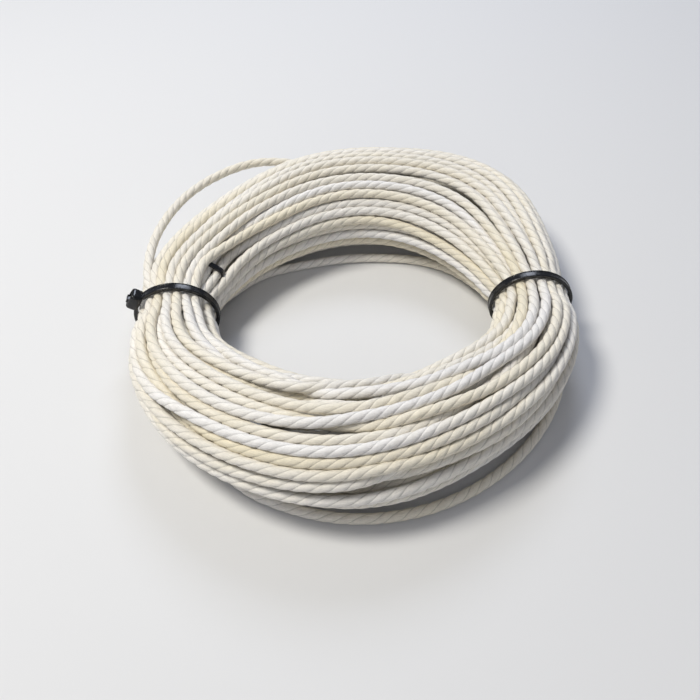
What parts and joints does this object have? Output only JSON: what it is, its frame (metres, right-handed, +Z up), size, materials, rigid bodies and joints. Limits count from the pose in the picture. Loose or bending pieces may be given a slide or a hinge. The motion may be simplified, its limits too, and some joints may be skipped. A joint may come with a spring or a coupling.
{
  "type": "waxed cord hank",
  "caption": "Ring-shaped hank of off-white waxed three-ply cord, held by black cable ties with catching pawls and by a small black band.",
  "frame": {"origin": "centre of the ring on the surface it rests on, under the middle of the hank's box", "axes": "+Z up through the ring's hole, +X towards the right tie, +Y towards the back of the ring"},
  "size_m": [0.1352, 0.1442, 0.0292],
  "materials": {
    "cord": "off-white three-ply twisted cord, lightly waxed, with a soft satin sheen along each ply",
    "tie_nylon": "black moulded nylon, glossy, with a faint lengthwise grain"
  },
  "bodies": {
    "cord": {"inner_turns": "cord", "outer_turns": "cord", "end_band": "tie_nylon"},
    "left_tie": {"left_tie": "tie_nylon"},
    "left_pawl": {"left_tie_pawl": "tie_nylon"},
    "right_tie": {"right_tie": "tie_nylon"},
    "right_pawl": {"right_tie_pawl": "tie_nylon"}
  },
  "joints": [
    {"name": "left_tie_slide", "type": "slide", "parent": "cord", "child": "left_tie", "axis": [0.0523, -0.9986, 0], "range_m": [-0.003, 0.003]},
    {"name": "left_pawl_flex", "type": "hinge", "parent": "left_tie", "child": "left_pawl", "pos_m": [-0.06381, -0.00334, 0.0188], "axis": [-0.0523, 0.9986, 0], "range_deg": [0, 15], "stiffness_Nm_per_rad": 0.01},
    {"name": "right_tie_slide", "type": "slide", "parent": "cord", "child": "right_tie", "axis": [-0.0523, 0.9986, 0], "range_m": [-0.003, 0.003]},
    {"name": "right_pawl_flex", "type": "hinge", "parent": "right_tie", "child": "right_pawl", "pos_m": [0.06384, 0.00335, 0.00605], "axis": [0.0523, -0.9986, 0], "range_deg": [0, 15], "stiffness_Nm_per_rad": 0.01}
  ]
}
